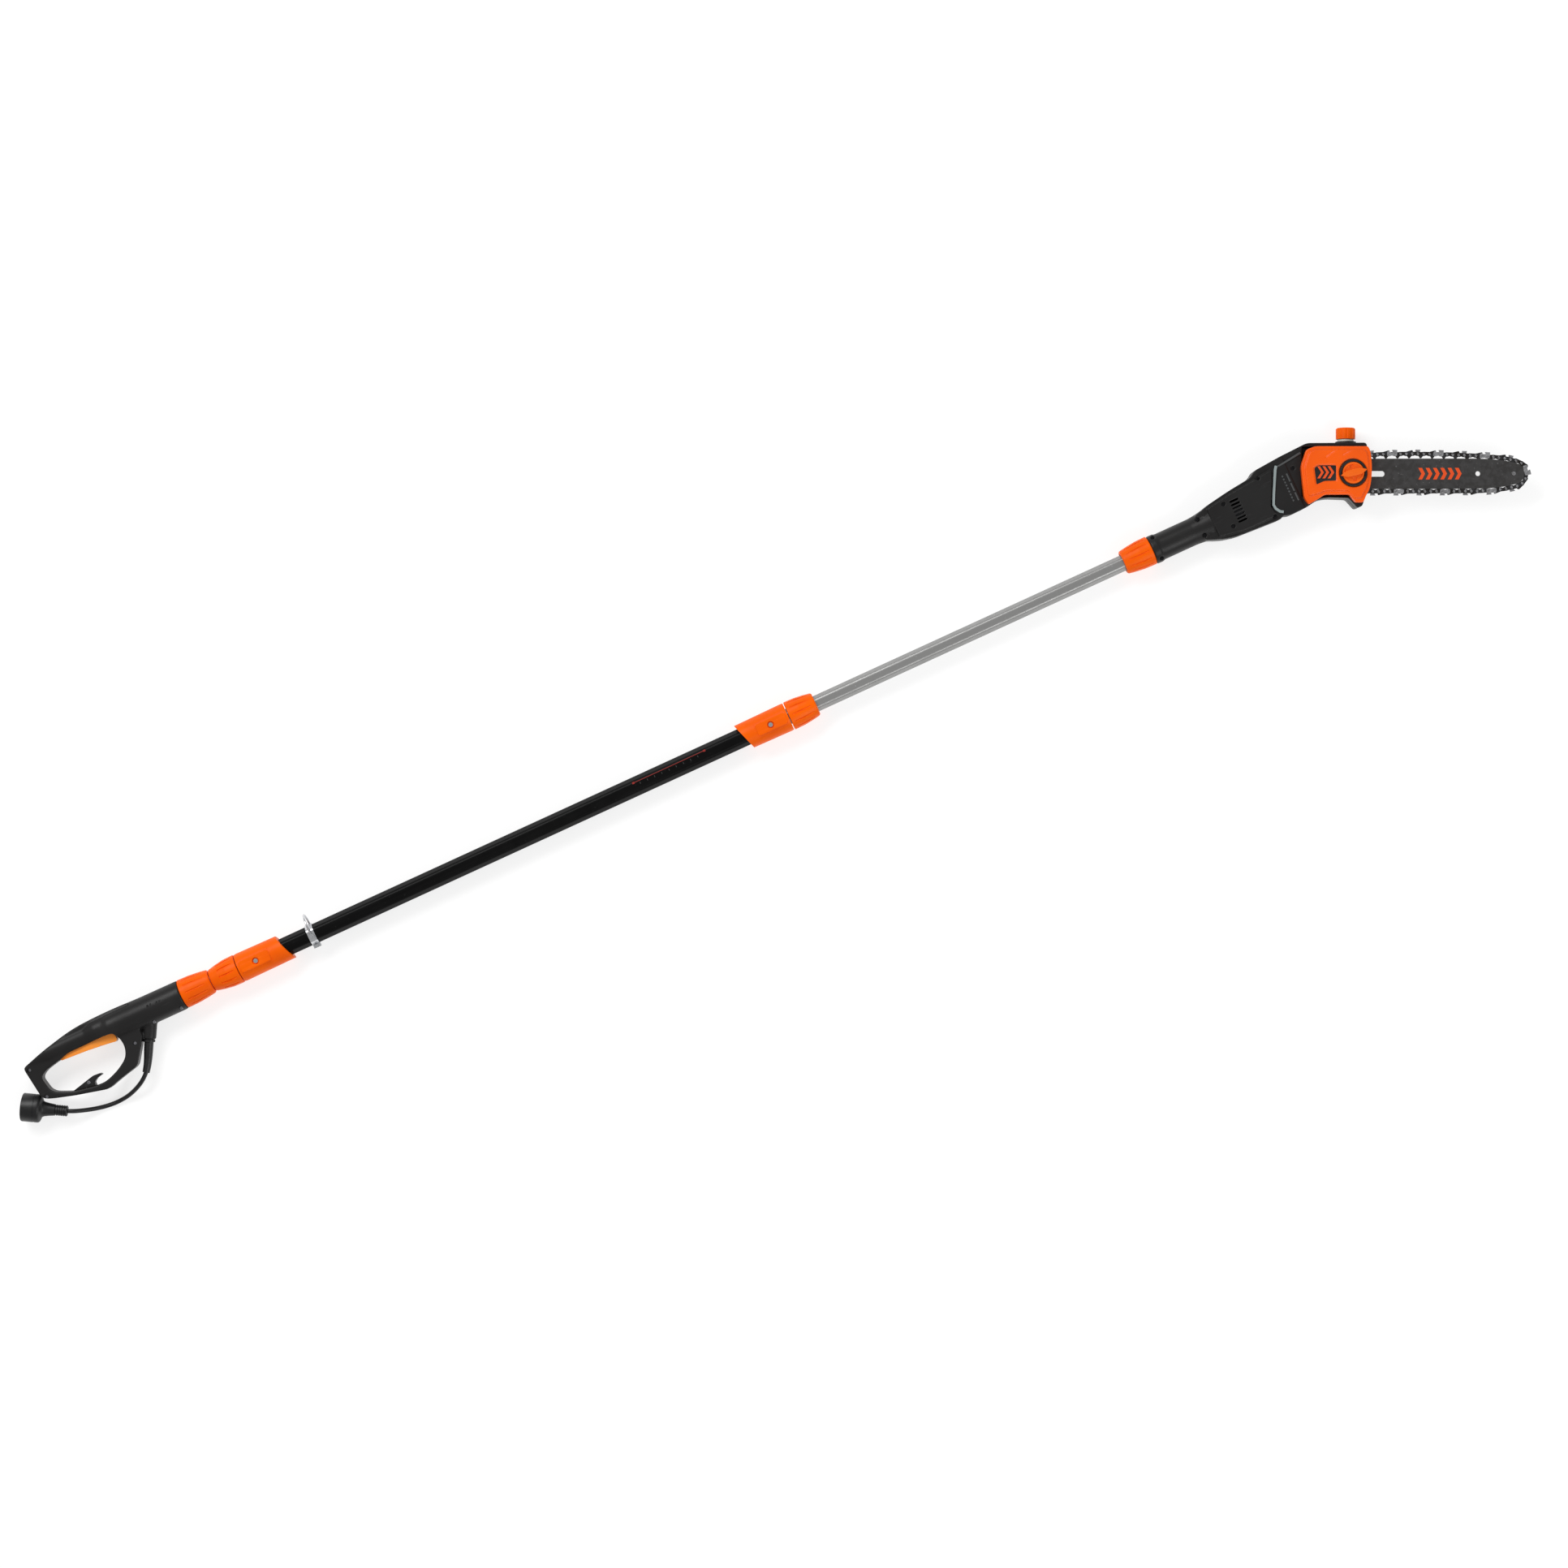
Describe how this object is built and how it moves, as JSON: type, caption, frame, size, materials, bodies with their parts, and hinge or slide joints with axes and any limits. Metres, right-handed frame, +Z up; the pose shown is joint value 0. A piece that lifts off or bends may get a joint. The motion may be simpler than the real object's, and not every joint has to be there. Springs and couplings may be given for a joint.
{
  "type": "telescoping pole saw",
  "caption": "Corded electric pole saw with a sliding two-tube pole, D-shaped rear handle, angled saw head with guide bar and chain, oil cap, lock knob and strap bail.",
  "frame": {"origin": "middle of the box of the saw without its lead, on the surface that it lies on", "axes": "+X along the pole from the handle to the saw head, +Y towards the oil cap's side, +Z up, out of the sprocket cover"},
  "size_m": [2.7047, 0.2165, 0.077],
  "materials": {
    "black_plastic": "satin moulded nylon, charcoal black",
    "orange_plastic": "satin moulded orange",
    "orange_sleeve": "satin moulded orange",
    "orange_cover": "semi-gloss moulded orange",
    "knob_plastic": "satin moulded orange",
    "trigger_plastic": "semi-gloss light orange",
    "ring_plastic": "satin black",
    "grey_plastic": "light grey, satin",
    "inner_plastic": "moulded, unpolished",
    "white_plastic": "milky polyethylene",
    "soft_rubber": "soft PVC, satin",
    "lead_jacket": "smooth PVC jacket",
    "blade_brass": "stamped brass",
    "outer_tube_paint": "black powder coat",
    "tube_aluminium": "drawn, satin anodised",
    "zinc_steel": "bright zinc plate",
    "screw_steel": "plated screws",
    "spring_steel": "drawn steel",
    "motor_steel": "machined steel",
    "brush_carbon": "carbon",
    "bar_paint": "charcoal enamel",
    "chain_steel": "oil-blackened steel",
    "cutter_chrome": "hard chrome plate",
    "rivet_steel": "polished rivet heads"
  },
  "bodies": {
    "pole": {"handle_shell_near": "black_plastic", "handle_shell_far": "black_plastic", "handle_screws": "screw_steel", "trigger_pin": "spring_steel", "trigger_spring": "spring_steel", "lock_off_spring": "spring_steel", "power_switch": "inner_plastic", "cord_boot": "soft_rubber", "cord_clamp": "inner_plastic", "cord_hook": "black_plastic", "power_cord": "lead_jacket", "plug_body": "soft_rubber", "plug_blades": "blade_brass", "handle_tube": "tube_aluminium", "lower_collet": "inner_plastic", "lower_sleeve": "orange_sleeve", "sleeve_screws": "screw_steel", "outer_tube": "outer_tube_paint", "upper_sleeve": "orange_sleeve", "upper_collet": "inner_plastic", "coiled_lead": "lead_jacket", "strap_clamp": "zinc_steel", "clamp_bolt": "zinc_steel"},
    "trigger": {"trigger": "trigger_plastic"},
    "lock_off": {"lock_off_button": "trigger_plastic"},
    "handle_nut": {"handle_nut": "orange_plastic"},
    "lower_nut": {"lower_lock_nut": "orange_plastic"},
    "upper_nut": {"upper_lock_nut": "orange_plastic"},
    "ring": {"strap_ring": "zinc_steel"},
    "head": {"inner_tube": "tube_aluminium", "slide_bush": "white_plastic", "head_spigot": "inner_plastic", "head_shell_near": "black_plastic", "head_shell_far": "black_plastic", "head_screws": "screw_steel", "accent_strip": "grey_plastic", "motor_stator": "motor_steel", "motor_bearings": "motor_steel", "carbon_brushes": "brush_carbon", "shaft_bearings": "motor_steel", "oil_tank": "white_plastic", "oil_pump": "inner_plastic", "sprocket_cover": "orange_cover", "bar_stud": "motor_steel", "chain_drive_links": "chain_steel", "chain_cutters": "cutter_chrome", "chain_ties": "chain_steel", "chain_rivets": "rivet_steel"},
    "head_nut": {"head_nut": "orange_plastic"},
    "armature": {"armature": "motor_steel", "cooling_fan": "inner_plastic", "bevel_pinion": "motor_steel"},
    "output": {"bevel_gear": "motor_steel", "output_shaft": "motor_steel", "drive_sprocket": "motor_steel"},
    "oil_cap": {"oil_cap": "orange_plastic"},
    "lock_knob": {"lock_knob": "knob_plastic"},
    "tension_ring": {"tension_ring": "ring_plastic"},
    "bar": {"guide_bar": "bar_paint"},
    "nose": {"nose_sprocket": "chain_steel"}
  },
  "joints": [
    {"name": "trigger_pull", "type": "hinge", "parent": "pole", "child": "trigger", "pos_m": [-1.178, 0.053, 0.029], "axis": [0, 0, 1], "range_deg": [-6, 0], "stiffness_Nm_per_rad": 3, "springref_deg": 2.86, "deforming": ["trigger_spring"]},
    {"name": "lock_off_press", "type": "slide", "parent": "pole", "child": "lock_off", "axis": [0, 0, 1], "range_m": [0, 0.004], "stiffness_N_per_m": 300, "springref_m": -0.003, "deforming": ["lock_off_spring"]},
    {"name": "handle_nut_turn", "type": "hinge", "parent": "pole", "child": "handle_nut", "pos_m": [-1.016, 0.053, 0.029], "axis": [1, 0, 0], "range_deg": [0, 180]},
    {"name": "lower_lock_turn", "type": "hinge", "parent": "pole", "child": "lower_nut", "pos_m": [-0.966, 0.053, 0.029], "axis": [1, 0, 0], "range_deg": [0, 120]},
    {"name": "upper_lock_turn", "type": "hinge", "parent": "pole", "child": "upper_nut", "pos_m": [0.079, 0.053, 0.029], "axis": [1, 0, 0], "range_deg": [-120, 0]},
    {"name": "bail_swing", "type": "hinge", "parent": "pole", "child": "ring", "pos_m": [-0.808, 0.05, 0.029], "axis": [0, 0, 1], "range_deg": [-45, 45]},
    {"name": "pole_slide", "type": "slide", "parent": "pole", "child": "head", "axis": [1, 0, 0], "range_m": [-0.53, 0], "deforming": ["coiled_lead"]},
    {"name": "head_nut_turn", "type": "hinge", "parent": "head", "child": "head_nut", "pos_m": [0.684, 0.053, 0.029], "axis": [1, 0, 0], "range_deg": [-180, 0]},
    {"name": "motor_spin", "type": "hinge", "parent": "head", "child": "armature", "pos_m": [0.864, 0.05027, 0.029], "axis": [1, 0, 0], "continuous": true},
    {"name": "output_spin", "type": "hinge", "parent": "head", "child": "output", "pos_m": [1.01527, 0.05027, 0.029], "axis": [0, 0, 1], "continuous": true},
    {"name": "cap_turn", "type": "hinge", "parent": "head", "child": "oil_cap", "pos_m": [1.08424, 0.09357, 0.02], "axis": [0.4147, 0.91, 0], "range_deg": [0, 360]},
    {"name": "knob_turn", "type": "hinge", "parent": "head", "child": "lock_knob", "pos_m": [1.06095, 0.02945, 0.069], "axis": [0, 0, 1], "range_deg": [0, 360]},
    {"name": "tension_turn", "type": "hinge", "parent": "head", "child": "tension_ring", "pos_m": [1.06095, 0.02945, 0.066], "axis": [0, 0, 1], "range_deg": [-120, 0]},
    {"name": "bar_slide", "type": "slide", "parent": "head", "child": "bar", "axis": [0.91, -0.4147, 0], "range_m": [-0.005, 0]},
    {"name": "nose_spin", "type": "hinge", "parent": "bar", "child": "nose", "pos_m": [1.30364, -0.08115, 0.045], "axis": [0, 0, 1], "continuous": true}
  ],
  "couplings": [
    {"joint": "output_spin", "follows": "motor_spin", "ratio": -0.27273},
    {"joint": "nose_spin", "follows": "motor_spin", "ratio": -0.23377},
    {"joint": "tension_turn", "follows": "bar_slide", "rad_per_m": 418.88}
  ]
}
